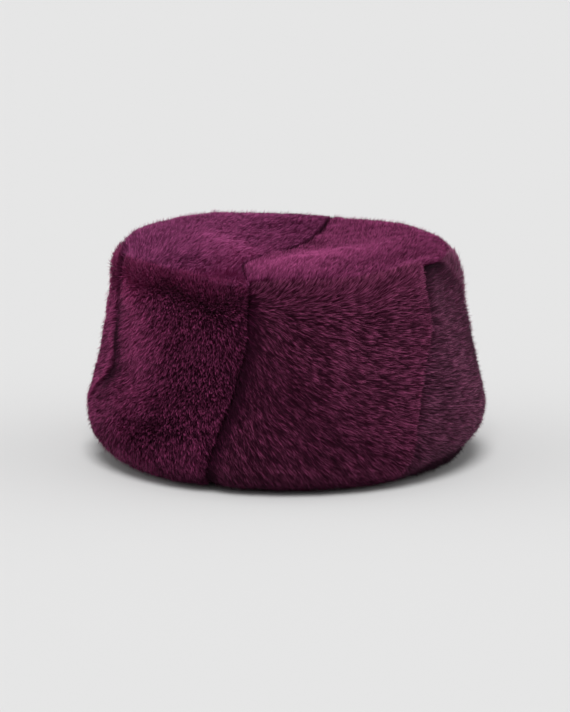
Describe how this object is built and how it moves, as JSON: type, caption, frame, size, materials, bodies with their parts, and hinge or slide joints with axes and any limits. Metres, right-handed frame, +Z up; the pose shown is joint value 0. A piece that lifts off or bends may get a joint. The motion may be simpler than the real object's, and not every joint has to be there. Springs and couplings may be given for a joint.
{
  "type": "fur hat",
  "caption": "Tall soft brimless hat of short plum fur, sewn from a seamed crown and side panels, open below and resting on its rim.",
  "frame": {"origin": "under the middle of the hat's outline, on the surface that its rim rests on", "axes": "+Z up through the crown, -Y towards the side that the picture shows, +X to that view's right"},
  "size_m": [0.2586, 0.2572, 0.149],
  "materials": {
    "plum_fur": "soft short dense fur pile"
  },
  "bodies": {
    "root": {"crown_left": "plum_fur", "crown_right": "plum_fur", "panel_left": "plum_fur", "panel_front": "plum_fur", "panel_right": "plum_fur", "panel_rear_right": "plum_fur", "panel_rear": "plum_fur", "panel_rear_left": "plum_fur"}
  },
  "joints": []
}
